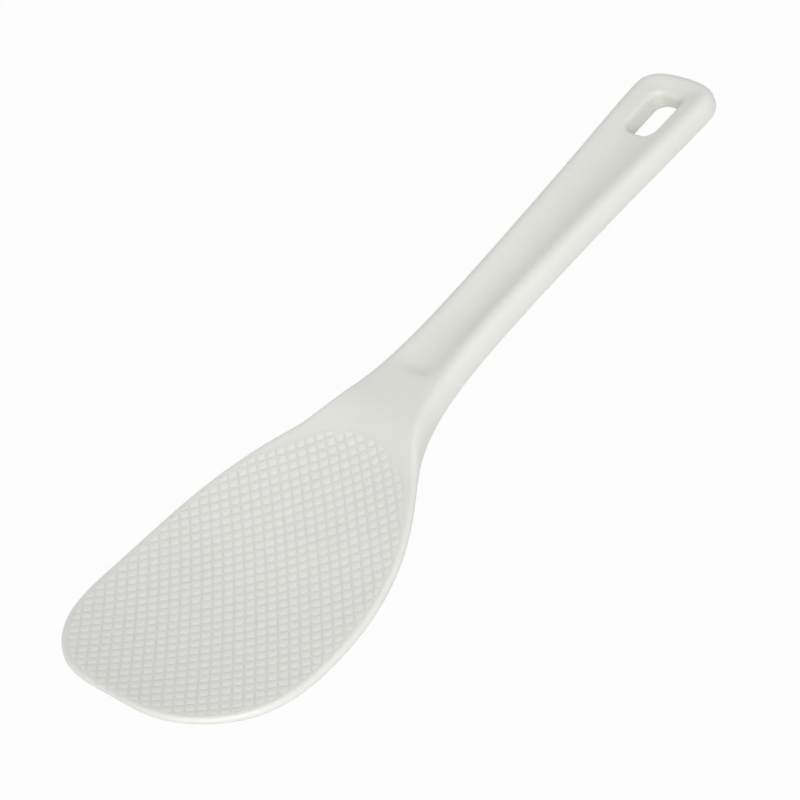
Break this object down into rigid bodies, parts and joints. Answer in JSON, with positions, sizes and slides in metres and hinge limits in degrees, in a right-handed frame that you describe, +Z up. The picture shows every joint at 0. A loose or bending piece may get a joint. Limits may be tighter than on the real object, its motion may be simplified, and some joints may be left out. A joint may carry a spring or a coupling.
{
  "type": "rice paddle",
  "caption": "Flat moulded serving paddle with a broad dished blade, raised pips on both faces, a slim grooved handle and a rounded slot to hang it by.",
  "frame": {"origin": "middle of the paddle's outline, on the table it lies on", "axes": "+X from the blade's tip to the handle's end, +Z up from the table, XZ is the mirror plane"},
  "size_m": [0.2, 0.0638, 0.0132],
  "materials": {
    "white_plastic": "satin, faintly translucent moulded polypropylene"
  },
  "bodies": {
    "root": {"paddle": "white_plastic"}
  },
  "joints": []
}
